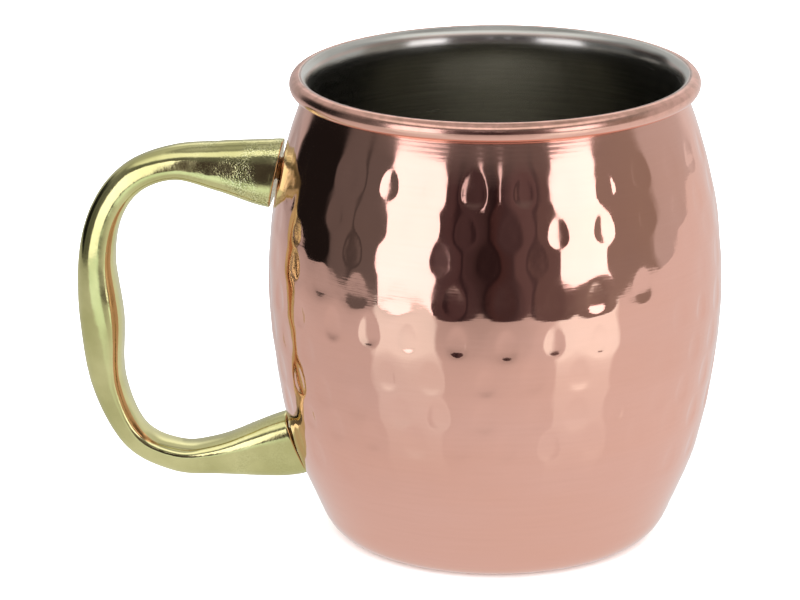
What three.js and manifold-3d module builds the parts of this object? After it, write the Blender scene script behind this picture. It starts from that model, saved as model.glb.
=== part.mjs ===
// Hammered copper mug with a steel lining and a cast brass handle.
//
// Millimetres, +Z up. The origin is the centre of the flat underside, and the mug's round axis is Z.
// The handle stands out along -X, in the plane Y = 0. The two nested cups are turned shapes: each is
// a closed outline of (radius, height) points spun about Z.

import * as THREE from 'three';
import { mergeVertices } from 'three/addons/utils/BufferGeometryUtils.js';
import Module from 'manifold-3d';

// ---- Driving dimensions ----

// Outside of the copper cup: a flat foot, a soft corner, then a barrel wall that is widest half-way up.
const FOOT_RADIUS = 31.5;
const CORNER_HANDLES = [[33.6, 0], [35.9, 1.4]];
const WALL_OUTLINE = [
  [37.7, 6], [43.3, 20], [46.5, 36], [48, 53], [46.9, 70], [43.6, 85], [39.7, 96],
];

// Rolled rim: an oval roll that stands proud of the neck.
const RIM_CENTRE = [41.15, 97.55];
const RIM_HALF_WIDTH = 1.85;
const RIM_HALF_HEIGHT = 2.05;
const RIM_START_ANGLE = -135;
const RIM_END_ANGLE = 105;

// Sheet thicknesses. CLEARANCE stands for the bond between pieces that touch.
const COPPER_WALL = 0.7;
const STEEL_WALL = 0.6;
const CLEARANCE = 0.3;

// The lining's lip turns outwards over the inside of the rim. It leaves the wall below the neck.
const LIP_LEAVES_WALL_AT = 91.3;
const LIP_LEDGE_DROP = STEEL_WALL + CLEARANCE;
const LIP_RISE_HANDLE = 3;
const LIP_END_HANDLE = 3;
const LIP_END_SLOPE = 52; // degrees above level at the lip's end
const LINER_LIP_SHARE = 0.9; // how far along the lip's curve the lining reaches

// Cast handle, from the upper end to the lower one. Each station is
// [distance out from the mug's axis, height, thickness in the handle's plane, width across it].
const HANDLE_STATIONS = [
  [40.0, 77.4, 13.4, 10.8],
  [46.9, 76.6, 14.7, 10.8],
  [57.6, 77.9, 10.9, 10.0],
  [68.0, 78.5, 7.4, 8.8],
  [77.1, 75.0, 6.8, 8.2],
  [83.0, 67.4, 7.1, 8.6],
  [85.5, 56.8, 7.9, 9.8],
  [84.8, 43.3, 9.4, 11.2],
  [83.6, 28.9, 7.2, 10.6],
  [78.2, 17.1, 6.1, 9.6],
  [69.0, 12.5, 6.6, 9.2],
  [59.4, 12.9, 8.2, 9.6],
  [46.0, 15.6, 13.7, 10.6],
  [36.0, 18.5, 14.0, 10.8],
];
const HANDLE_DRAFT = 0.15; // share of the width that moves from the outer side of the loop to the inner one
const HANDLE_ROUNDNESS = 2.5; // superellipse power: 2 is an oval, more is squarer
const HANDLE_STAND_OFF = 0.7; // the ends are filed to the barrel and stop this far from it

// Brazed studs that carry the handle, one in the middle of each end.
const STUD_RADIUS = 2.6;
const STUD_DEPTH = 3; // how far each stud goes into the casting
const STUD_HEIGHTS = { upper_stud: 77.6, lower_stud: 17.4 };
const STUD_START = 30; // the raw stud starts inside the barrel, which then trims it

// Facet counts.
const ROUND_STEPS = 48;
const CORNER_STEPS = 4;
const WALL_STEPS = 12;
const RIM_STEPS = 10;
const LIP_STEPS = 6;
const HANDLE_STEPS = 42;
const HANDLE_SIDES = 16;
const STUD_SIDES = 24;

// ---- Finishes ----

const copper = new THREE.MeshStandardMaterial({ color: 0xd39a84, metalness: 1, roughness: 0.12 });
const steel = new THREE.MeshStandardMaterial({ color: 0x9a978f, metalness: 1, roughness: 0.3 });
const brass = new THREE.MeshStandardMaterial({ color: 0xc9bd7c, metalness: 1, roughness: 0.18 });
const braze = new THREE.MeshStandardMaterial({ color: 0xa88a52, metalness: 1, roughness: 0.45 });

// ---- Outlines, as lists of Vector2(radius, height) that run from the axis outwards and up ----

function point([radius, height]) {
  return new THREE.Vector2(radius, height);
}

function footAndCorner() {
  const corner = new THREE.CubicBezierCurve(
    new THREE.Vector2(FOOT_RADIUS, 0),
    point(CORNER_HANDLES[0]),
    point(CORNER_HANDLES[1]),
    point(WALL_OUTLINE[0]),
  );
  return [new THREE.Vector2(0, 0), ...corner.getPoints(CORNER_STEPS)];
}

function outsideOutline() {
  const wall = new THREE.SplineCurve(WALL_OUTLINE.map(point));
  return [...footAndCorner(), ...wall.getPoints(WALL_STEPS).slice(1)];
}

// Moves an outline to its left, which is towards the inside of the mug, and puts the first point
// back on the axis.
function offsetOutline(outline, distance) {
  return outline.map((here, i) => {
    const before = outline[Math.max(i - 1, 0)];
    const after = outline[Math.min(i + 1, outline.length - 1)];
    const along = after.clone().sub(before).normalize();
    const moved = new THREE.Vector2(here.x - along.y * distance, here.y + along.x * distance);
    return i === 0 ? new THREE.Vector2(0, moved.y) : moved;
  });
}

function rimRoll() {
  const start = THREE.MathUtils.degToRad(RIM_START_ANGLE);
  const end = THREE.MathUtils.degToRad(RIM_END_ANGLE);
  const roll = new THREE.EllipseCurve(...RIM_CENTRE, RIM_HALF_WIDTH, RIM_HALF_HEIGHT, start, end);
  return roll.getPoints(RIM_STEPS);
}

// Inside of the copper cup, up to the share of the lip's curve that is asked for.
function copperInsideOutline(lipShare) {
  const walls = offsetOutline(outsideOutline(), COPPER_WALL);
  const below = walls.filter((p) => p.y < LIP_LEAVES_WALL_AT);
  const leave = below[below.length - 1];
  const rising = leave.clone().sub(below[below.length - 2]).setLength(LIP_RISE_HANDLE);
  const rollEnd = rimRoll().pop();
  const ledge = new THREE.Vector2(rollEnd.x, RIM_CENTRE[1] + RIM_HALF_HEIGHT - LIP_LEDGE_DROP);
  const slope = THREE.MathUtils.degToRad(LIP_END_SLOPE);
  const arriving = new THREE.Vector2(Math.cos(slope), Math.sin(slope)).multiplyScalar(LIP_END_HANDLE);
  const lip = new THREE.CubicBezierCurve(leave, leave.clone().add(rising), ledge.clone().sub(arriving), ledge);
  const lipPoints = [];
  for (let i = 1; i <= LIP_STEPS; i += 1) {
    lipPoints.push(lip.getPoint((lipShare * i) / LIP_STEPS));
  }
  return [...below, ...lipPoints];
}

// ---- Solids ----

const wasm = await Module();
wasm.setup();

function toSolid(geometry) {
  const bare = geometry.clone();
  bare.deleteAttribute('normal');
  bare.deleteAttribute('uv');
  const merged = mergeVertices(bare, 1e-5);
  return new wasm.Manifold(new wasm.Mesh({
    numProp: 3,
    vertProperties: merged.attributes.position.array,
    triVerts: new Uint32Array(merged.index.array),
  }));
}

function toGeometry(solid) {
  const mesh = solid.getMesh();
  const geometry = new THREE.BufferGeometry();
  geometry.setAttribute('position', new THREE.BufferAttribute(mesh.vertProperties, 3));
  geometry.setIndex(new THREE.BufferAttribute(mesh.triVerts, 1));
  geometry.computeVertexNormals();
  return geometry;
}

// Spins an outline about Z. Both its ends are on the axis.
function turned(outline) {
  return new THREE.LatheGeometry(outline, ROUND_STEPS).rotateX(Math.PI / 2);
}

function cup(outside, inside) {
  return turned([...outside, ...inside.slice().reverse()]);
}

// A solid barrel that stands a given distance outside the copper wall, for trimming against.
function barrel(standOff) {
  const skin = offsetOutline(outsideOutline(), -standOff);
  const top = new THREE.Vector2(0, skin[skin.length - 1].y);
  return toSolid(turned([...skin, top]));
}

function superellipse(angle) {
  const power = 2 / HANDLE_ROUNDNESS;
  const c = Math.cos(angle);
  const s = Math.sin(angle);
  return [Math.sign(c) * Math.abs(c) ** power, Math.sign(s) * Math.abs(s) ** power];
}

// The handle's uncut casting: oval rings strung along its centre line, closed by a fan at each end.
function handleCasting() {
  const line = new THREE.CatmullRomCurve3(
    HANDLE_STATIONS.map(([out, height]) => new THREE.Vector3(-out, 0, height)), false, 'catmullrom', 0.5,
  );
  const size = new THREE.CatmullRomCurve3(
    HANDLE_STATIONS.map(([, , thick, wide]) => new THREE.Vector3(thick, wide, 0)), false, 'catmullrom', 0.5,
  );
  const positions = [];
  const index = [];
  for (let i = 0; i <= HANDLE_STEPS; i += 1) {
    const centre = line.getPoint(i / HANDLE_STEPS);
    const half = size.getPoint(i / HANDLE_STEPS).multiplyScalar(0.5);
    const along = line.getTangent(i / HANDLE_STEPS);
    const outwards = new THREE.Vector3(-along.z, 0, along.x);
    for (let j = 0; j < HANDLE_SIDES; j += 1) {
      const [a, b] = superellipse((2 * Math.PI * j) / HANDLE_SIDES);
      const ringPoint = centre.clone().addScaledVector(outwards, a * half.x);
      positions.push(ringPoint.x, b * half.y * (1 - HANDLE_DRAFT * a), ringPoint.z);
    }
  }
  for (let i = 0; i < HANDLE_STEPS; i += 1) {
    for (let j = 0; j < HANDLE_SIDES; j += 1) {
      const a = i * HANDLE_SIDES + j;
      const b = i * HANDLE_SIDES + ((j + 1) % HANDLE_SIDES);
      index.push(a, b + HANDLE_SIDES, b, a, a + HANDLE_SIDES, b + HANDLE_SIDES);
    }
  }
  const lastRing = HANDLE_STEPS * HANDLE_SIDES;
  for (let j = 1; j < HANDLE_SIDES - 1; j += 1) {
    index.push(0, j, j + 1);
    index.push(lastRing, lastRing + j + 1, lastRing + j);
  }
  const geometry = new THREE.BufferGeometry();
  geometry.setAttribute('position', new THREE.Float32BufferAttribute(positions, 3));
  geometry.setIndex(index);
  return geometry;
}

// Outside radius of the copper wall at a height, along the wall's outline.
function wallRadius(height) {
  const outline = outsideOutline();
  const above = outline.findIndex((p) => p.y > height);
  const low = outline[above - 1];
  const high = outline[above];
  return THREE.MathUtils.mapLinear(height, low.y, high.y, low.x, high.x);
}

// A plain rod along -X at a stud's height, from inside the barrel to a given depth in the casting.
function rod(height, radius, depth) {
  const end = wallRadius(height) + HANDLE_STAND_OFF + depth;
  const geometry = new THREE.CylinderGeometry(radius, radius, end - STUD_START, STUD_SIDES);
  geometry.rotateZ(Math.PI / 2);
  geometry.translate(-(STUD_START + end) / 2, 0, height);
  return geometry;
}

function stud(height) {
  return toGeometry(toSolid(rod(height, STUD_RADIUS, STUD_DEPTH)).subtract(barrel(CLEARANCE)));
}

function handle() {
  let casting = toSolid(handleCasting()).subtract(barrel(HANDLE_STAND_OFF));
  for (const height of Object.values(STUD_HEIGHTS)) {
    const socket = rod(height, STUD_RADIUS + CLEARANCE, STUD_DEPTH + CLEARANCE);
    casting = casting.subtract(toSolid(socket));
  }
  return toGeometry(casting);
}

function copperShell() {
  return cup([...outsideOutline(), ...rimRoll()], copperInsideOutline(1));
}

function steelLiner() {
  const backing = copperInsideOutline(LINER_LIP_SHARE);
  return cup(offsetOutline(backing, CLEARANCE), offsetOutline(backing, CLEARANCE + STEEL_WALL));
}

// ---- Assembly ----

function addPiece(group, name, geometry, material) {
  const piece = new THREE.Mesh(geometry, material);
  piece.name = name;
  group.add(piece);
}

const mug = new THREE.Group();
addPiece(mug, 'copper_shell', copperShell(), copper);
addPiece(mug, 'steel_liner', steelLiner(), steel);
addPiece(mug, 'handle', handle(), brass);
for (const [name, height] of Object.entries(STUD_HEIGHTS)) {
  addPiece(mug, name, stud(height), braze);
}

export default mug;
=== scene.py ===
"""Looks of the hammered copper mug: fine meshes, materials, a white studio and the camera.

The meshes repeat the driving dimensions of the design. They are written in millimetres and turned
into metres by MM where a vertex is made. The mug's round axis is Z, the handle points along -X.
"""

import math
import random

import bpy
from mathutils import Matrix, Vector, noise


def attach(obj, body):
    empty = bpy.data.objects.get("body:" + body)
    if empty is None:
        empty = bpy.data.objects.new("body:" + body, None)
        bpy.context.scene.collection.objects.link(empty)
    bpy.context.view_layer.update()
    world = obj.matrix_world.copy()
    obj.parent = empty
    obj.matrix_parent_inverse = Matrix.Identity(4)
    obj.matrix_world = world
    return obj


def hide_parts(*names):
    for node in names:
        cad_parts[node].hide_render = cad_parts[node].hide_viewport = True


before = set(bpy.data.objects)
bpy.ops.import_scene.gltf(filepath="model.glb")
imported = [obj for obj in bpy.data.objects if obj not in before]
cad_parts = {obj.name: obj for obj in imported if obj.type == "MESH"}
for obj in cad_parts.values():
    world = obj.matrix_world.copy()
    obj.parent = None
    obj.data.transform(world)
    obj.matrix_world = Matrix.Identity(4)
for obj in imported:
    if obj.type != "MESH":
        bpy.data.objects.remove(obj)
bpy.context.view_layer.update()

MM = 0.001
TAU = 2 * math.pi

# ---- Driving dimensions of the design, in millimetres ----

FOOT_RADIUS = 31.5
CORNER_HANDLES = [(33.6, 0.0), (35.9, 1.4)]
WALL_OUTLINE = [
    (37.7, 6.0), (43.3, 20.0), (46.5, 36.0), (48.0, 53.0), (46.9, 70.0), (43.6, 85.0), (39.7, 96.0),
]
RIM_CENTRE = (41.15, 97.55)
RIM_HALF_WIDTH = 1.85
RIM_HALF_HEIGHT = 2.05
RIM_START_ANGLE = -135
RIM_END_ANGLE = 105
COPPER_WALL = 0.7
STEEL_WALL = 0.6
CLEARANCE = 0.3
LIP_LEAVES_WALL_AT = 91.3  # height at which the lip's curve starts
LIP_LEDGE_DROP = STEEL_WALL + CLEARANCE
LIP_RISE_HANDLE = 3.0
LIP_END_HANDLE = 3.0
LIP_END_SLOPE = 52  # degrees above level at the lip's end

# [distance out from the axis, height, thickness in the handle's plane, width across it]
HANDLE_STATIONS = [
    (40.0, 77.4, 13.4, 10.8),
    (46.9, 76.6, 14.7, 10.8),
    (57.6, 77.9, 10.9, 10.0),
    (68.0, 78.5, 7.4, 8.8),
    (77.1, 75.0, 6.8, 8.2),
    (83.0, 67.4, 7.1, 8.6),
    (85.5, 56.8, 7.9, 9.8),
    (84.8, 43.3, 9.4, 11.2),
    (83.6, 28.9, 7.2, 10.6),
    (78.2, 17.1, 6.1, 9.6),
    (69.0, 12.5, 6.6, 9.2),
    (59.4, 12.9, 8.2, 9.6),
    (46.0, 15.6, 13.7, 10.6),
    (36.0, 18.5, 14.0, 10.8),
]
HANDLE_DRAFT = 0.15  # as a share, how much wider the casting is on the inner side of the loop
HANDLE_ROUNDNESS = 2.5  # the power of the section's superellipse
HANDLE_STAND_OFF = 0.7  # between the handle's ends and the barrel
STUD_RADIUS = 2.6
STUD_HEIGHTS = {"upper_stud": 77.6, "lower_stud": 17.4}
STUD_GAP = 0.1  # between a stud and the barrel
STUD_LENGTH = 0.55
STUD_WAIST = 0.86  # radius half way along, as a share of the radius at the ends
HANDLE_BEVEL = 0.2  # of the handle's ends
CAP_SHARE = 0.965  # size of an end face inside its bevel
CASTING_WAVES = [(0.05, 7), (0.02, 2.2)]  # [height, length] of the casting's unevenness

# ---- Mesh detail ----

CUP_SIDES = 512
WALL_ROWS = 150
LINER_SIDES = 256
LINER_ROWS = 90
HANDLE_SIDES = 64
HANDLE_RINGS = 260
CAP_RINGS = 6
STUD_SIDES = 40
STUD_STEPS = 10
HIDDEN_TOLERANCE = 0.11  # how far the hidden faces between cup and lining may cut a curve, in mm

# ---- Hammer marks ----

# [height of the dents' lower ends, number of dents, phase in degrees, strength]
DENT_RINGS = [
    (82.6, 30, 5.8, 1.2),
    (74.6, 29, 6.5, 1.1),
    (68.5, 30, 9.3, 0.8),
    (60.7, 29, 3.5, 0.9),
    (52.0, 30, 2.3, 2.1),
    (44.2, 29, 11.1, 1.9),
    (36.0, 31, 6.0, 2.0),
    (29.3, 30, 1.5, 1.9),
    (20.2, 29, 8.0, 1.6),
]
# [half width, from its deepest point down to its lower end, and up to its upper end, depth]
DENT_CORE = (2.4, 2.3, 4.6, 0.09)
DENT_BOWL = (5.1, 3.4, 6.5, 0.075)
DENT_CORE_POWER = 2.6  # how steep a core's sides are
DENT_BOWL_POWER = 2
DENT_SEED = 12
WAVE_LENGTH = 9  # of the slow unevenness between the dents
WAVE_DEPTH = 0.03
SMOOTH_BELOW = 9.0  # no hammering under this height
SMOOTH_ABOVE = 93.5  # the hammering fades out round this height
FADE_IN = 8  # the hammering reaches its full depth this far over SMOOTH_BELOW
FADE_OUT_BELOW = 5
FADE_OUT_ABOVE = 2

# ---- Places where a finish or a painted shade changes, in metres, as (start, end) of a soft step ----

RIM_HEIGHTS = (0.0965, 0.0990)
NECK_HEIGHTS = (0.0905, 0.0945)
LIP_HEIGHTS = (0.0975, 0.0985)
# Painted shade: the steel lining is painted darker below these heights, deep in the cup.
PAINTED_SHADE_HEIGHTS = (0.080, 0.093)
COPPER_WASH_RADII = (0.0407, 0.0416)
SAND_CAST_REACH = (-0.066, -0.054)  # along X
SAND_CAST_HEIGHTS = (0.03, 0.06)

# ---- Camera ----

CAMERA_AZIMUTH = math.radians(5.0)  # how far the camera stands to the right of the handle's plane normal
CAMERA_DISTANCE = 0.800
CAMERA_HEIGHT = 0.3034
CAMERA_PITCH = math.radians(-17.596)
CAMERA_PAN = math.radians(-1.443)
CAMERA_ROLL = math.radians(-0.434)
CAMERA_LENS = 177.78

# ---- Studio, in metres and degrees. Azimuths start at the camera and grow to its right ----

SOFTBOX_COLOUR = (0.95, 0.93, 1.0)
# [name, azimuth, height, (width, height of the light), radiance]
SOFTBOXES = [
    ("left_softbox", -43.0, 0.135, (0.40, 0.57), 1.85),
    ("right_softbox", 44.5, 0.2025, (0.34, 0.435), 1.85),
    ("left_tube", -8.2, 0.345, (0.024, 0.15), 1.0),
    ("right_tube", 3.0, 0.345, (0.024, 0.15), 1.0),
]
SOFTBOX_DISTANCE = 0.75
FLOOR_CORNERS = [(-3.0, -3.0), (3.0, -3.0), (3.0, 3.0), (-3.0, 3.0)]
FLOOR_LIGHT = 3.2  # how much brighter the world is for the floor, which leaves it almost no shadow
# The table the metal sees glows; its light and shade are painted, with pools of painted light in front
# of the softboxes.
TABLE_CORNERS = [(-0.30, -0.37), (0.10, -0.37), (2.11, 1.2), (-0.80, 1.2)]
GLARE = 0.50  # how much brighter the table is in front of the softboxes
GLARE_AZIMUTHS = [(-64.0, -29.5), (31.0, 63.0)]
GLARE_WARMTH = 0.7  # the share of the glare that is added to red
GLARE_CENTRE = 0.029  # the glare's azimuths turn about a point this far in front of the mug's axis
GLARE_EDGE = 1.5  # half the width of its soft sides


# ======== Curves ========

def bezier(a, b, c, d, t):
    u = 1 - t
    weights = (u ** 3, 3 * u * u * t, 3 * u * t * t, t ** 3)
    return tuple(sum(w * p[i] for w, p in zip(weights, (a, b, c, d))) for i in range(len(a)))


def spline_point(points, t, reflect_ends):
    """A uniform Catmull-Rom spline through points, at t from 0 to 1."""
    last = len(points) - 1
    place = min(max(t, 0.0), 1.0) * last
    i = min(int(place), last - 1)
    w = place - i
    p1, p2 = points[i], points[i + 1]
    mirrored = 1 if reflect_ends else 0
    p0 = points[i - 1] if i > 0 else tuple(a + mirrored * (a - b) for a, b in zip(p1, p2))
    p3 = points[i + 2] if i + 2 <= last else tuple(b + mirrored * (b - a) for a, b in zip(p1, p2))
    result = []
    for a, b, c, d in zip(p0, p1, p2, p3):
        v0, v1 = (c - a) / 2, (d - b) / 2
        cubic = (2 * b - 2 * c + v0 + v1) * w ** 3 + (-3 * b + 3 * c - 2 * v0 - v1) * w * w
        result.append(cubic + v0 * w + b)
    return tuple(result)


def resample(line, count):
    """The same line, as count + 1 points evenly spaced along it."""
    steps = [math.dist(a, b) for a, b in zip(line, line[1:])]
    total = sum(steps)
    result = [line[0]]
    walked, i = 0.0, 0
    for k in range(1, count):
        target = total * k / count
        while walked + steps[i] < target:
            walked += steps[i]
            i += 1
        w = (target - walked) / steps[i]
        result.append(tuple(a + w * (b - a) for a, b in zip(line[i], line[i + 1])))
    result.append(line[-1])
    return result


def simplified(line, tolerance):
    """Fewer points of the line, none of the dropped ones further than tolerance from it."""
    if len(line) < 3:
        return list(line)
    (r0, z0), (r1, z1) = line[0], line[-1]
    length = math.dist(line[0], line[-1])
    away = [abs((r - r0) * (z1 - z0) - (z - z0) * (r1 - r0)) / length for r, z in line]
    furthest = max(range(len(line)), key=away.__getitem__)
    if away[furthest] <= tolerance:
        return [line[0], line[-1]]
    return simplified(line[:furthest + 1], tolerance)[:-1] + simplified(line[furthest:], tolerance)


def smooth_step(low, high, value):
    w = min(max((value - low) / (high - low), 0.0), 1.0)
    return w * w * (3 - 2 * w)


# ======== Outlines, as (radius, height) points ========

def corner_line(steps):
    start = (FOOT_RADIUS, 0.0)
    return [bezier(start, *CORNER_HANDLES, WALL_OUTLINE[0], i / steps) for i in range(steps + 1)]


def wall_line(steps):
    return [spline_point(WALL_OUTLINE, i / steps, False) for i in range(steps + 1)]


def rim_line(steps, start=RIM_START_ANGLE, end=RIM_END_ANGLE):
    line = []
    for i in range(steps + 1):
        angle = math.radians(start + (end - start) * i / steps)
        line.append((
            RIM_CENTRE[0] + RIM_HALF_WIDTH * math.cos(angle),
            RIM_CENTRE[1] + RIM_HALF_HEIGHT * math.sin(angle),
        ))
    return line


def outside_line():
    return corner_line(40) + wall_line(400)[1:]


def offset_line(line, distance):
    """The line moved to its left, which is towards the inside of the mug."""
    moved = []
    for i, (r, z) in enumerate(line):
        before = line[max(i - 1, 0)]
        after = line[min(i + 1, len(line) - 1)]
        length = math.dist(before, after)
        along = ((after[0] - before[0]) / length, (after[1] - before[1]) / length)
        moved.append((r - along[1] * distance, z + along[0] * distance))
    return moved


def inside_line():
    """Inside of the copper cup, up to the end of the lip's curve."""
    below = [p for p in offset_line(outside_line(), COPPER_WALL) if p[1] < LIP_LEAVES_WALL_AT]
    leave, before = below[-1], below[-2]
    step = math.dist(leave, before)
    rise = tuple(a + (a - b) * LIP_RISE_HANDLE / step for a, b in zip(leave, before))
    ledge = (rim_line(1)[-1][0], RIM_CENTRE[1] + RIM_HALF_HEIGHT - LIP_LEDGE_DROP)
    slope = math.radians(LIP_END_SLOPE)
    before_end = (
        ledge[0] - LIP_END_HANDLE * math.cos(slope),
        ledge[1] - LIP_END_HANDLE * math.sin(slope),
    )
    lip = [bezier(leave, rise, before_end, ledge, i / 40) for i in range(1, 41)]
    return below + lip


WALL_TABLE = outside_line()


def wall_radius(height):
    """Outside radius of the copper wall at a height."""
    for (r0, z0), (r1, z1) in zip(WALL_TABLE, WALL_TABLE[1:]):
        if z1 >= height:
            return r0 + (r1 - r0) * (height - z0) / max(z1 - z0, 1e-9)
    return WALL_TABLE[-1][0]


# ======== Mesh helpers ========

def make_object(name, verts, faces, material):
    mesh = bpy.data.meshes.new(name)
    mesh.from_pydata([tuple(c * MM for c in v) for v in verts], [], faces)
    mesh.validate()
    mesh.update()
    mesh.polygons.foreach_set("use_smooth", [True] * len(mesh.polygons))
    mesh.materials.append(material)
    piece = bpy.data.objects.new(name, mesh)
    bpy.context.scene.collection.objects.link(piece)
    return piece


def turned_mesh(name, outline, sides, material, shift=None):
    """Spins a closed outline about Z. Its first and last points are on the axis.

    shift(angle, radius, height) moves a point outwards along the outline's normal.
    """
    normals = []
    for i in range(len(outline)):
        before = outline[max(i - 1, 0)]
        after = outline[min(i + 1, len(outline) - 1)]
        length = math.dist(before, after) or 1.0
        normals.append(((after[1] - before[1]) / length, -(after[0] - before[0]) / length))
    verts = [(0.0, 0.0, outline[0][1])]
    rows = outline[1:-1]
    for (r, z), (nr, nz) in zip(rows, normals[1:-1]):
        for j in range(sides):
            angle = TAU * j / sides
            out = shift(angle, r, z) if shift else 0.0
            rr, zz = r + nr * out, z + nz * out
            verts.append((rr * math.cos(angle), rr * math.sin(angle), zz))
    verts.append((0.0, 0.0, outline[-1][1]))
    faces = []
    for j in range(sides):
        k = (j + 1) % sides
        faces.append((0, 1 + k, 1 + j))
        for i in range(len(rows) - 1):
            a, b = 1 + i * sides, 1 + (i + 1) * sides
            faces.append((a + j, a + k, b + k, b + j))
        top = 1 + (len(rows) - 1) * sides
        faces.append((top + j, top + k, len(verts) - 1))
    return make_object(name, verts, faces, material)


# ======== Hammering ========

def make_dents():
    """Every dent as (angle, height of its deepest point, size factor, core strength, bowl strength)."""
    rng = random.Random(DENT_SEED)
    dents = []
    for low_end, count, phase, strength in DENT_RINGS:
        for k in range(count):
            angle = math.radians(phase) + TAU * k / count + rng.uniform(-0.02, 0.02)
            size = rng.uniform(0.85, 1.12)
            core = strength * rng.uniform(0.6, 1.2)
            bowl_strength = rng.uniform(0.75, 1.25)
            height = low_end + DENT_CORE[1] * size + rng.uniform(-0.5, 0.5)
            dents.append((angle, height, size, core, bowl_strength))
    return dents


def row_dents(dents, height):
    """The dents that reach a height."""
    _, below, above, _ = DENT_BOWL
    return [d for d in dents if d[1] - below * d[2] < height < d[1] + above * d[2]]


def bowl(across, up, shape, power):
    """Depth at a place of one hollow, given its shape as in DENT_CORE."""
    half, below, above, depth = shape
    away = math.hypot(across / half, up / (above if up > 0 else below))
    return depth * (1 - away ** power) if away < 1 else 0.0


def make_hammering():
    """A function that tells how far the wall is beaten in at a place, as a negative number."""
    dents = make_dents()
    rows = {}

    def hammering(angle, radius, height):
        if height < SMOOTH_BELOW or height > SMOOTH_ABOVE + FADE_OUT_ABOVE:
            return 0.0
        key = round(height, 3)
        if key not in rows:
            rows[key] = row_dents(dents, height)
        deepest = 0.0
        for at, middle, size, core, hollow in rows[key]:
            turn = (angle - at + math.pi) % TAU - math.pi
            across, up = turn * radius / size, (height - middle) / size
            if abs(across) < DENT_BOWL[0]:
                depth = core * bowl(across, up, DENT_CORE, DENT_CORE_POWER)
                depth += hollow * bowl(across, up, DENT_BOWL, DENT_BOWL_POWER)
                deepest = max(deepest, depth)
        x, y = radius * math.cos(angle), radius * math.sin(angle)
        wave = WAVE_DEPTH * noise.noise((x / WAVE_LENGTH, y / WAVE_LENGTH, height / WAVE_LENGTH))
        band = smooth_step(SMOOTH_BELOW, SMOOTH_BELOW + FADE_IN, height)
        band *= 1 - smooth_step(SMOOTH_ABOVE - FADE_OUT_BELOW, SMOOTH_ABOVE + FADE_OUT_ABOVE, height)
        return -(deepest + wave) * band

    return hammering


# ======== Materials ========

class Nodes:
    """A small helper round one material's or world's node tree."""

    def __init__(self, tree):
        self.tree = tree
        tree.nodes.clear()

    def add(self, kind, inputs=(), **settings):
        node = self.tree.nodes.new(kind)
        for name, value in settings.items():
            setattr(node, name, value)
        for key, value in dict(inputs).items():
            if isinstance(value, bpy.types.NodeSocket):
                self.tree.links.new(value, node.inputs[key])
            else:
                node.inputs[key].default_value = value
        return node

    def math(self, operation, a, b=0.0, clamp=False):
        return self.add("ShaderNodeMath", {0: a, 1: b}, operation=operation, use_clamp=clamp).outputs[0]

    def remap(self, value, from_low, from_high, to_low=0.0, to_high=1.0):
        names = {"Value": value, "From Min": from_low, "From Max": from_high}
        names.update({"To Min": to_low, "To Max": to_high})
        return self.add("ShaderNodeMapRange", names, clamp=True).outputs[0]

    def mix(self, factor, a, b):
        node = self.add("ShaderNodeMix", {0: factor}, data_type="RGBA")
        for socket, value in ((node.inputs[6], a), (node.inputs[7], b)):
            if isinstance(value, bpy.types.NodeSocket):
                self.tree.links.new(value, socket)
            else:
                socket.default_value = value
        return node.outputs[2]

    def ramp(self, value, stops, interpolation="LINEAR"):
        """stops are (place from 0 to 1, grey or colour)."""
        node = self.add("ShaderNodeValToRGB", {0: value})
        node.color_ramp.interpolation = interpolation
        elements = node.color_ramp.elements
        while len(elements) < len(stops):
            elements.new(0.5)
        for element, (place, colour) in zip(elements, stops):
            element.position = place
            element.color = colour if isinstance(colour, tuple) else (colour, colour, colour, 1)
        return node.outputs[0]

    def noise(self, vector, scale, detail=3.0, roughness=0.5):
        names = {"Vector": vector, "Scale": scale, "Detail": detail, "Roughness": roughness}
        return self.add("ShaderNodeTexNoise", names).outputs[0]

    def stretched(self, vector, scale):
        return self.add("ShaderNodeMapping", {"Vector": vector, "Scale": scale}).outputs[0]

    def bump(self, height, distance, normal=None):
        names = {"Height": height, "Distance": distance, "Strength": 1.0}
        if normal is not None:
            names["Normal"] = normal
        return self.add("ShaderNodeBump", names).outputs[0]


def metal(name):
    """A new material with its nodes, its object-space coordinates and its shader."""
    material = bpy.data.materials.new(name)
    material.use_nodes = True
    nodes = Nodes(material.node_tree)
    shader = nodes.add("ShaderNodeBsdfPrincipled", {"Metallic": 1.0})
    output = nodes.add("ShaderNodeOutputMaterial")
    nodes.tree.links.new(shader.outputs[0], output.inputs[0])
    place = nodes.add("ShaderNodeTexCoord").outputs["Object"]
    return material, nodes, shader, place


def connect(nodes, shader, **sockets):
    for name, socket in sockets.items():
        nodes.tree.links.new(socket, shader.inputs[name.replace("_", " ")])


def specks(nodes, place, scale, radius):
    """1 inside tiny round specks, 0 elsewhere."""
    cells = nodes.add("ShaderNodeTexVoronoi", {"Vector": place, "Scale": scale, "Randomness": 1.0})
    near = nodes.remap(cells.outputs["Distance"], radius * 0.6, radius, 1.0, 0.0)
    chosen = nodes.math("GREATER_THAN", nodes.noise(cells.outputs["Position"], 900.0), 0.62)
    return nodes.math("MULTIPLY", near, chosen)


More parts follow.
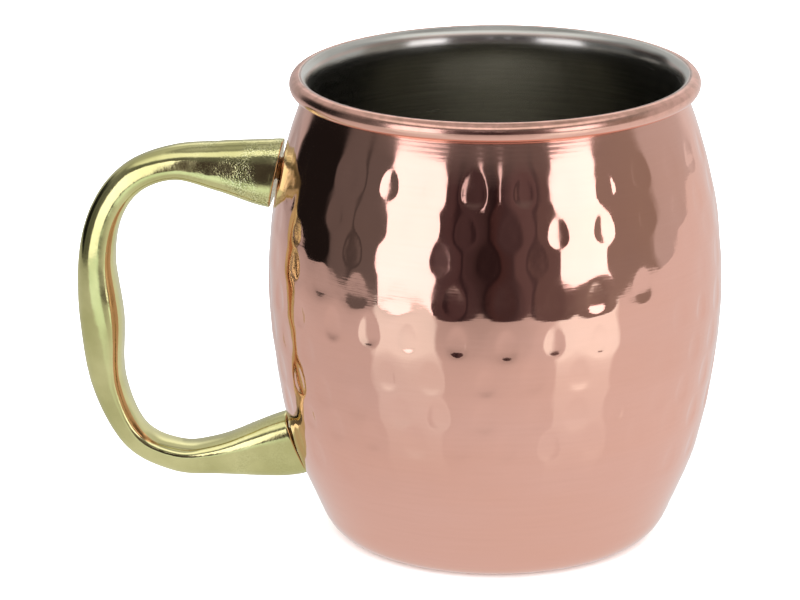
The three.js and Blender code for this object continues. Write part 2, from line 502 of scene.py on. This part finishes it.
COPPER = (0.88, 0.505, 0.41, 1)
COPPER_WARM = (0.88, 0.49, 0.385, 1)
COPPER_SCRATCHED = (0.78, 0.43, 0.33, 1)
COPPER_RUBBED = (0.60, 0.36, 0.27, 1)
COPPER_SPECK = (0.12, 0.06, 0.05, 1)
STEEL = (0.70, 0.685, 0.64, 1)
STEEL_DULL = (0.52, 0.51, 0.46, 1)
# Painted shade: the lining's darker colour deep in the cup.
STEEL_PAINTED_SHADE = (0.50, 0.485, 0.43, 1)
BRASS = (0.80, 0.75, 0.37, 1)
BRASS_TARNISHED = (0.60, 0.57, 0.25, 1)
BRASS_PIT = (0.25, 0.19, 0.07, 1)
SAND_DARK = (0.15, 0.17, 0.05, 1)
SAND_PLAIN = (0.60, 0.60, 0.26, 1)
SAND_BRIGHT = (0.98, 0.96, 0.6, 1)
BRAZE_DARK = (0.42, 0.26, 0.12, 1)
BRAZE_PALE = (0.66, 0.46, 0.22, 1)


def bare_steel(nodes, place):
    """1 where the rim's copper wash has given way to the steel lip, with a soft uneven edge."""
    x, y, z = nodes.add("ShaderNodeSeparateXYZ", {0: place}).outputs
    square = nodes.math("ADD", nodes.math("MULTIPLY", x, x), nodes.math("MULTIPLY", y, y))
    radius = nodes.math("SQRT", square)
    uneven = nodes.math("MULTIPLY", nodes.noise(place, 200.0), 0.0008)
    lopsided = nodes.math("MULTIPLY", y, -0.004)
    edge = nodes.math("ADD", radius, nodes.math("ADD", uneven, lopsided))
    inner = nodes.remap(edge, *COPPER_WASH_RADII, 1.0, 0.0)
    return nodes.math("MULTIPLY", inner, nodes.remap(z, *LIP_HEIGHTS))


def copper_material():
    material, nodes, shader, place = metal("polished_copper")
    cloud = nodes.noise(nodes.stretched(place, (1, 1, 2.5)), 28.0, 4.0)
    colour = nodes.mix(nodes.remap(cloud, 0.35, 0.7), COPPER, COPPER_WARM)
    lines = nodes.noise(nodes.stretched(place, (60, 60, 1500)), 1.0, 3.0, 0.6)
    colour = nodes.mix(nodes.remap(lines, 0.35, 0.8, 0.0, 0.16), colour, COPPER_SCRATCHED)
    speck = specks(nodes, place, 70.0, 0.018)
    colour = nodes.mix(speck, colour, COPPER_SPECK)
    height = nodes.add("ShaderNodeSeparateXYZ", {0: place}).outputs[2]
    on_rim = nodes.remap(height, *RIM_HEIGHTS)
    patches = nodes.remap(nodes.noise(place, 330.0, 5.0, 0.65), 0.42, 0.62)
    rubbed = nodes.math("MULTIPLY", patches, on_rim)
    colour = nodes.mix(nodes.math("MULTIPLY", rubbed, 0.7), colour, COPPER_RUBBED)
    colour = nodes.mix(bare_steel(nodes, place), colour, STEEL)
    worn = nodes.noise(nodes.stretched(place, (1, 1, 3)), 55.0, 5.0, 0.6)
    rough = nodes.remap(worn, 0.35, 0.75, 0.045, 0.10)
    rough = nodes.math("ADD", rough, nodes.math("MULTIPLY", on_rim, 0.10))
    neck = nodes.remap(height, *NECK_HEIGHTS)
    rough = nodes.math("ADD", rough, nodes.math("MULTIPLY", neck, 0.07))
    fine = nodes.noise(nodes.stretched(place, (160, 160, 2600)), 1.0, 2.0, 0.5)
    spun = nodes.noise(nodes.stretched(place, (12, 12, 1900)), 1.0, 3.0, 0.6)
    normal = nodes.bump(nodes.math("MULTIPLY", spun, neck), 0.000018)
    normal = nodes.bump(fine, 0.0000035, normal)
    soft = nodes.noise(place, 260.0, 2.0)
    normal = nodes.bump(soft, 0.000012, normal)
    connect(nodes, shader, Base_Color=colour, Roughness=rough, Normal=normal)
    return material


def steel_material():
    material, nodes, shader, place = metal("satin_steel")
    cloud = nodes.noise(nodes.stretched(place, (1, 1, 2)), 45.0, 4.0)
    colour = nodes.mix(nodes.remap(cloud, 0.3, 0.75), STEEL, STEEL_DULL)
    z = nodes.add("ShaderNodeSeparateXYZ", {0: place}).outputs[2]
    at_lip = nodes.remap(z, *LIP_HEIGHTS)
    # Painted shade: the lining is painted darker the deeper it lies in the cup, fully so below 80 mm.
    painted_depth_shade = nodes.remap(z, *PAINTED_SHADE_HEIGHTS, 1.0, 0.0)
    colour = nodes.mix(painted_depth_shade, colour, STEEL_PAINTED_SHADE)
    coppered = nodes.math("MULTIPLY", at_lip, nodes.math("SUBTRACT", 1.0, bare_steel(nodes, place)))
    colour = nodes.mix(coppered, colour, COPPER)
    lines = nodes.noise(nodes.stretched(place, (40, 40, 2200)), 1.0, 3.0, 0.6)
    rough = nodes.remap(lines, 0.3, 0.75, 0.20, 0.28)
    normal = nodes.bump(lines, 0.000003)
    round_about = nodes.add("ShaderNodeTangent", direction_type="RADIAL", axis="Z").outputs[0]
    connect(nodes, shader, Base_Color=colour, Roughness=rough, Normal=normal, Tangent=round_about)
    shader.inputs["Anisotropic"].default_value = 0.6
    shader.inputs["Anisotropic Rotation"].default_value = 0.25
    return material


def brass_material():
    material, nodes, shader, place = metal("cast_brass")
    cloud = nodes.noise(place, 60.0, 4.0)
    colour = nodes.mix(nodes.remap(cloud, 0.35, 0.62), BRASS, BRASS_TARNISHED)
    pits = specks(nodes, place, 260.0, 0.06)
    colour = nodes.mix(pits, colour, BRASS_PIT)
    worn = nodes.noise(place, 130.0, 5.0, 0.6)
    rough = nodes.remap(worn, 0.35, 0.75, 0.09, 0.2)
    grain = nodes.noise(place, 1400.0, 3.0, 0.55)
    normal = nodes.bump(grain, 0.000010)
    x, _, z = nodes.add("ShaderNodeSeparateXYZ", {0: place}).outputs
    near_mug = nodes.remap(x, *SAND_CAST_REACH)
    unpolished = nodes.math("MULTIPLY", near_mug, nodes.remap(z, *SAND_CAST_HEIGHTS, 0.15, 1.0))
    patches = nodes.remap(nodes.noise(place, 160.0, 3.0), 0.40, 0.62)
    rough_cast = nodes.math("MULTIPLY", unpolished, patches)
    sand = nodes.noise(place, 2900.0, 1.0, 0.6)
    normal = nodes.bump(nodes.math("MULTIPLY", sand, rough_cast), 0.00009, normal)
    grit = nodes.ramp(sand, [(0.40, SAND_DARK), (0.5, SAND_PLAIN), (0.62, SAND_BRIGHT)])
    colour = nodes.mix(nodes.math("MULTIPLY", rough_cast, 0.8), colour, grit)
    normal = nodes.bump(nodes.math("SUBTRACT", 1.0, pits), 0.00004, normal)
    connect(nodes, shader, Base_Color=colour, Roughness=rough, Normal=normal)
    return material


def braze_material():
    material, nodes, shader, place = metal("braze_metal")
    cloud = nodes.noise(place, 500.0, 4.0)
    colour = nodes.mix(cloud, BRAZE_DARK, BRAZE_PALE)
    rough = nodes.remap(cloud, 0.3, 0.7, 0.3, 0.55)
    normal = nodes.bump(cloud, 0.00003)
    connect(nodes, shader, Base_Color=colour, Roughness=rough, Normal=normal)
    return material


# ======== Pieces ========

def copper_cup(material):
    """The copper sheet: underside, corner, hammered wall, rolled rim and its inner face."""
    hammering = make_hammering()

    def beaten_wall(angle, radius, height):
        on_wall = height < WALL_OUTLINE[-1][1] and radius > wall_radius(height) - COPPER_WALL / 2
        return hammering(angle, radius, height) if on_wall else 0.0

    underside = [(r, 0.0) for r in (0.0, 10.0, 20.0, 28.0)]
    wall = resample(corner_line(60) + wall_line(400)[1:], WALL_ROWS)
    roll = rim_line(16)
    inner = simplified(list(reversed(inside_line())), HIDDEN_TOLERANCE)
    floor = [(0.0, inner[-1][1])]
    outline = underside + wall + roll + inner + floor
    return turned_mesh("hammered_copper_cup", outline, CUP_SIDES, material, beaten_wall)


def steel_cup(material):
    backing = inside_line()
    seam = rim_line(1)[-1]
    outer = simplified(offset_line(backing[:-6], CLEARANCE), HIDDEN_TOLERANCE)
    face = offset_line(backing, CLEARANCE + STEEL_WALL)
    lip = [(seam[0] - 0.02, seam[1] - 0.25), (seam[0] - 0.02, seam[1]), (seam[0] - 0.25, seam[1] - 0.06)]
    inner = resample([lip[2]] + list(reversed(face)), LINER_ROWS)
    outline = [(0.0, outer[0][1])] + outer + lip[:2] + inner + [(0.0, inner[-1][1])]
    return turned_mesh("steel_lining", outline, LINER_SIDES, material)


def superellipse(angle):
    power = 2 / HANDLE_ROUNDNESS
    c, s = math.cos(angle), math.sin(angle)
    return math.copysign(abs(c) ** power, c), math.copysign(abs(s) ** power, s)


def handle_point(t, side_angle):
    """A point of the casting's surface, t along its length and round it by an angle."""
    out, height, thick, wide = spline_point(HANDLE_STATIONS, t, True)
    before = spline_point(HANDLE_STATIONS, t - 1e-3, True)
    after = spline_point(HANDLE_STATIONS, t + 1e-3, True)
    step = math.hypot(after[0] - before[0], after[1] - before[1])
    along = ((after[0] - before[0]) / step, (after[1] - before[1]) / step)
    a, b = superellipse(side_angle)
    # Outwards from the loop is to the left of the way from the upper end to the lower one.
    shift = a * thick / 2
    half = wide / 2 * (1 - HANDLE_DRAFT * a)
    return (-(out - along[1] * shift), b * half, height + along[0] * shift)


def clear_of_wall(point, stand_off):
    """How far a point is outside the barrel grown by stand_off."""
    x, y, z = point
    return math.hypot(x, y) - wall_radius(z) - stand_off


def crossing(side_angle, inside, outside, stand_off):
    """Where a line along the casting comes out of the barrel."""
    for _ in range(40):
        middle = (inside + outside) / 2
        if clear_of_wall(handle_point(middle, side_angle), stand_off) > 0:
            outside = middle
        else:
            inside = middle
    return outside


def end_cap(ring, rings, stand_off):
    """Rings that close an end, lying on the barrel, and the point in their middle."""
    count = len(ring)
    middle_y = sum(p[1] for p in ring) / count
    middle_z = sum(p[2] for p in ring) / count

    def on_barrel(y, z):
        reach = wall_radius(z) + stand_off
        return (-math.sqrt(reach * reach - y * y), y, z)

    made = []
    for k in range(rings):
        share = CAP_SHARE * (1 - k / rings)
        made.append([
            on_barrel(middle_y + (p[1] - middle_y) * share, middle_z + (p[2] - middle_z) * share)
            for p in ring
        ])
    return made, on_barrel(middle_y, middle_z)


def brass_handle(material):
    angles = [TAU * j / HANDLE_SIDES for j in range(HANDLE_SIDES)]
    starts = [crossing(a, 0.0, 0.2, HANDLE_STAND_OFF + HANDLE_BEVEL) for a in angles]
    ends = [crossing(a, 1.0, 0.8, HANDLE_STAND_OFF + HANDLE_BEVEL) for a in angles]
    rings = []
    for i in range(HANDLE_RINGS + 1):
        share = i / HANDLE_RINGS
        ring = []
        for a, start, end in zip(angles, starts, ends):
            x, y, z = handle_point(start + (end - start) * share, a)
            uneven = sum(
                wave * noise.noise((x / length, y / length, z / length))
                for wave, length in CASTING_WAVES
            )
            middle = spline_point(HANDLE_STATIONS, start + (end - start) * share, True)
            away = Vector((x + middle[0], y, z - middle[1])).normalized()
            ring.append(tuple(Vector((x, y, z)) + away * uneven))
        rings.append(ring)
    first, first_middle = end_cap(rings[0], CAP_RINGS, HANDLE_STAND_OFF)
    last, last_middle = end_cap(rings[-1], CAP_RINGS, HANDLE_STAND_OFF)
    rings = list(reversed(first)) + rings + last
    verts = [p for ring in rings for p in ring]
    verts += [first_middle, last_middle]
    faces = []
    n = HANDLE_SIDES
    for i in range(len(rings) - 1):
        for j in range(n):
            k = (j + 1) % n
            faces.append((i * n + j, i * n + k, (i + 1) * n + k, (i + 1) * n + j))
    top = (len(rings) - 1) * n
    for j in range(n):
        k = (j + 1) % n
        faces.append((j, len(verts) - 2, k))
        faces.append((top + j, top + k, len(verts) - 1))
    return make_object("brass_handle", verts, faces, material)


def braze_stud(name, height, material):
    """A short round stud with a fillet at each end, between the barrel and the handle."""
    near = wall_radius(height) + STUD_GAP
    far = near + STUD_LENGTH
    sides, steps = STUD_SIDES, STUD_STEPS
    verts = [(-near, 0.0, height)]
    for i in range(steps + 1):
        share = i / steps
        waist = STUD_RADIUS * (STUD_WAIST + (1 - STUD_WAIST) * (2 * share - 1) ** 2)
        for j in range(sides):
            angle = TAU * j / sides
            y, z = waist * math.cos(angle), height + waist * math.sin(angle)
            start = math.sqrt((wall_radius(z) + STUD_GAP) ** 2 - y * y)
            x = -(start + STUD_LENGTH * share)
            lump = 0.05 * noise.noise((x * 1.5, y * 1.5, z * 1.5))
            verts.append((x, y * (1 + lump), z + (z - height) * lump))
    verts.append((-far, 0.0, height))
    faces = []
    for j in range(sides):
        k = (j + 1) % sides
        faces.append((0, 1 + j, 1 + k))
        for i in range(steps):
            a, b = 1 + i * sides, 1 + (i + 1) * sides
            faces.append((a + k, a + j, b + j, b + k))
        top = 1 + steps * sides
        faces.append((top + k, top + j, len(verts) - 1))
    return make_object(name, verts, faces, material)


def place_piece(piece, node):
    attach(piece, "root")
    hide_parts(node)


# ======== Studio ========

def studio_world():
    """White to the camera and to the floor; a dark studio with pale sides in the mug's reflections."""
    world = bpy.data.worlds.new("studio")
    bpy.context.scene.world = world
    world.use_nodes = True
    world.cycles.sampling_method = "NONE"
    nodes = Nodes(world.node_tree)
    way = nodes.add("ShaderNodeTexCoord").outputs["Generated"]
    turned = nodes.add("ShaderNodeVectorRotate", {"Vector": way, "Angle": -CAMERA_AZIMUTH},
                       rotation_type="Z_AXIS").outputs[0]
    x, y, z = nodes.add("ShaderNodeSeparateXYZ", {0: turned}).outputs
    azimuth = nodes.math("ARCTAN2", x, nodes.math("MULTIPLY", y, -1.0))
    round_about = nodes.remap(azimuth, -math.pi, math.pi)

    def at(degrees):
        return 0.5 + degrees / 360

    side = nodes.ramp(round_about, [
        (0.0, 0.55), (at(-136), 0.50), (at(-132), 0.012), (at(-96), 0.012), (at(-93), 0.13),
        (at(-78), 0.14), (at(-76.5), 0.02), (at(-75), 0.14),
        (at(-60), 0.14), (at(-27), (0.075, 0.055, 0.06, 1)),
        (at(-20), (0.08, 0.055, 0.06, 1)), (at(-17.5), (0.02, 0.012, 0.015, 1)),
        (at(-15), (0.07, 0.05, 0.055, 1)), (at(-5), (0.04, 0.028, 0.03, 1)),
        (at(-2), (0.016, 0.01, 0.012, 1)), (at(1), (0.06, 0.035, 0.035, 1)),
        (at(8), (0.06, 0.045, 0.05, 1)), (at(12), (0.12, 0.09, 0.095, 1)),
        (at(19), (0.13, 0.10, 0.105, 1)), (at(20.5), (0.03, 0.022, 0.03, 1)),
        (at(22), (0.14, 0.11, 0.11, 1)),
        (at(29), (0.14, 0.11, 0.11, 1)), (at(60), (0.30, 0.27, 0.25, 1)),
        (at(88), (0.32, 0.29, 0.26, 1)), (at(92), 0.55), (at(130), 0.60), (at(140), 0.78), (1.0, 0.75),
    ])
    above = nodes.ramp(round_about, [
        (0.0, 1.3), (at(-165), 1.2), (at(-155), 0.56), (at(-125), 0.55), (at(-95), 0.22),
        (at(-25), 0.16), (at(25), 0.16), (at(90), 0.30), (at(125), 0.60), (at(155), 0.62),
        (at(165), 1.2), (1.0, 1.3),
    ])
    elevation = nodes.math("DEGREES", nodes.math("ARCSINE", z))
    light = nodes.mix(nodes.remap(elevation, 18.0, 30.0), side, above)
    bright = nodes.remap(nodes.math("ABSOLUTE", azimuth), 1.2, 1.9, 1.3, 0.62)
    light = nodes.mix(nodes.remap(elevation, 38.0, 44.0), light, bright)
    light = nodes.mix(nodes.remap(elevation, 60.0, 66.0), light, (0.36, 0.36, 0.36, 1))
    light = nodes.mix(nodes.remap(elevation, 70.0, 78.0), light, (0.58, 0.58, 0.58, 1))
    rays = nodes.add("ShaderNodeLightPath").outputs
    seen = nodes.mix(rays["Is Glossy Ray"], (1, 1, 1, 1), light)
    strength = nodes.remap(rays["Is Diffuse Ray"], 0.0, 1.0, 1.0, FLOOR_LIGHT)
    background = nodes.add("ShaderNodeBackground", {"Color": seen, "Strength": strength})
    output = nodes.add("ShaderNodeOutputWorld")
    nodes.tree.links.new(background.outputs[0], output.inputs[0])


def turn_about_mug(degrees, distance, height):
    """A place at an azimuth from the camera's side, positive to the camera's right."""
    angle = CAMERA_AZIMUTH + math.radians(degrees)
    return Vector((distance * math.sin(angle), -distance * math.cos(angle), height))


def softbox(name, azimuth, height, size, radiance):
    """An evenly lit upright rectangle that faces the mug."""
    light = bpy.data.lights.new(name, "AREA")
    light.shape = "RECTANGLE"
    light.size, light.size_y = size
    light.color = SOFTBOX_COLOUR
    light.energy = radiance * math.pi * size[0] * size[1]
    lamp = bpy.data.objects.new(name, light)
    lamp.location = turn_about_mug(azimuth, SOFTBOX_DISTANCE, height)
    lamp.rotation_euler = (math.radians(90), 0.0, CAMERA_AZIMUTH + math.radians(azimuth))
    lamp.visible_camera = False
    bpy.context.scene.collection.objects.link(lamp)


def plane(name, corners, height, material):
    """A level sheet from its corners, in metres."""
    mesh = bpy.data.meshes.new(name)
    mesh.from_pydata([(x, y, height) for x, y in corners], [], [(0, 1, 2, 3)])
    mesh.materials.append(material)
    sheet = bpy.data.objects.new(name, mesh)
    bpy.context.scene.collection.objects.link(sheet)
    return sheet


def studio_floor():
    material = bpy.data.materials.new("pale_floor")
    material.use_nodes = True
    nodes = Nodes(material.node_tree)
    place = nodes.add("ShaderNodeTexCoord").outputs["Object"]
    tone = nodes.mix(nodes.noise(place, 6.0), (0.90, 0.90, 0.90, 1), (0.92, 0.92, 0.92, 1))
    shader = nodes.add("ShaderNodeBsdfDiffuse", {"Color": tone})
    output = nodes.add("ShaderNodeOutputMaterial")
    nodes.tree.links.new(shader.outputs[0], output.inputs[0])
    floor = plane("floor", FLOOR_CORNERS, -0.0002, material)
    floor.visible_glossy = False


def reflected_table():
    """A glowing sheet with painted light and shade: the lit table top as the mug's metal sees it,
    nothing else. It ends where a real table would.
    """
    material = bpy.data.materials.new("painted_light_table")
    material.use_nodes = True
    nodes = Nodes(material.node_tree)
    place = nodes.add("ShaderNodeTexCoord").outputs["Object"]
    x, y, _ = nodes.add("ShaderNodeSeparateXYZ", {0: place}).outputs
    middle = (0.0, 0.0, 0.0)

    def near(centre, low, high, amount):
        """The amount at places nearer than low to the centre, fading to 0 at the distance high."""
        distance = nodes.add("ShaderNodeVectorMath", {0: place, 1: centre}, operation="DISTANCE")
        names = {"Value": distance.outputs["Value"], "From Min": low, "From Max": high}
        names.update({"To Min": amount, "To Max": 0.0})
        return nodes.add("ShaderNodeMapRange", names, interpolation_type="SMOOTHSTEP").outputs[0]

    # Painted light and shade on the glowing table: brighter to the right and near the mug, darker in
    # front of it and to the far left.
    tone = nodes.remap(x, -0.10, 0.10, 0.64, 0.79)
    tone = nodes.math("SUBTRACT", tone, near((-0.01, -0.34, 0.0), 0.04, 0.24, 0.20))
    tone = nodes.math("SUBTRACT", tone, nodes.remap(x, -0.38, -0.19, 0.20, 0.0))
    tone = nodes.math("ADD", tone, near(middle, 0.05, 0.15, 0.045))
    ahead = nodes.math("MULTIPLY", nodes.math("ADD", y, GLARE_CENTRE), -1.0)
    azimuth = nodes.math("DEGREES", nodes.math("ARCTAN2", x, ahead))

    def between(low, high):
        """1 between two azimuths, with soft sides."""
        above_low = nodes.remap(azimuth, low - GLARE_EDGE, low + GLARE_EDGE)
        below_high = nodes.remap(azimuth, high - GLARE_EDGE, high + GLARE_EDGE, 1.0, 0.0)
        return nodes.math("MULTIPLY", above_low, below_high)

    # Painted pools of light in front of the softboxes, weaker near the mug.
    columns = nodes.math("ADD", *[between(low, high) for low, high in GLARE_AZIMUTHS])
    fade = nodes.math("ADD", near(middle, 0.125, 0.215, 0.35), near(middle, 0.06, 0.125, 0.15))
    glare = nodes.math("MULTIPLY", columns, nodes.math("SUBTRACT", GLARE, fade))
    warm = nodes.math("ADD", tone, nodes.math("MULTIPLY", glare, GLARE_WARMTH))
    cool = nodes.math("ADD", tone, glare)
    colour = nodes.add("ShaderNodeCombineColor", {0: warm, 1: cool, 2: cool}).outputs[0]
    light = nodes.add("ShaderNodeEmission", {"Color": colour, "Strength": 1.0})
    output = nodes.add("ShaderNodeOutputMaterial")
    nodes.tree.links.new(light.outputs[0], output.inputs[0])
    table = plane("table_top", TABLE_CORNERS, -0.0001, material)
    table.rotation_euler = (0, 0, CAMERA_AZIMUTH)
    table.visible_camera = False
    table.visible_diffuse = False
    table.visible_shadow = False


def make_camera():
    across = Vector((math.cos(CAMERA_PAN), -math.sin(CAMERA_PAN), 0.0))
    flat = math.cos(CAMERA_PITCH)
    ahead = Vector((math.sin(CAMERA_PAN) * flat, math.cos(CAMERA_PAN) * flat, math.sin(CAMERA_PITCH)))
    up = across.cross(ahead)
    right = math.cos(CAMERA_ROLL) * across + math.sin(CAMERA_ROLL) * up
    top = math.cos(CAMERA_ROLL) * up - math.sin(CAMERA_ROLL) * across
    turn = Matrix((right, top, -ahead)).transposed()
    camera = bpy.data.objects.new("camera", bpy.data.cameras.new("camera"))
    camera.data.sensor_width = 36.0
    camera.data.lens = CAMERA_LENS
    camera.data.clip_start = 0.01
    stand = (0.0, -CAMERA_DISTANCE, CAMERA_HEIGHT)
    about_z = Matrix.Rotation(CAMERA_AZIMUTH, 4, "Z")
    camera.matrix_world = about_z @ Matrix.LocRotScale(stand, turn, None)
    bpy.context.scene.collection.objects.link(camera)
    bpy.context.scene.camera = camera


# ======== The scene ========

make_camera()
studio_world()
studio_floor()
reflected_table()
for box in SOFTBOXES:
    softbox(*box)
bpy.context.scene.view_settings.view_transform = "Standard"

copper = copper_material()
steel = steel_material()
brass = brass_material()
braze = braze_material()

place_piece(copper_cup(copper), "copper_shell")
place_piece(steel_cup(steel), "steel_liner")
place_piece(brass_handle(brass), "handle")
for stud_name, stud_height in STUD_HEIGHTS.items():
    place_piece(braze_stud("braze_" + stud_name, stud_height, braze), stud_name)
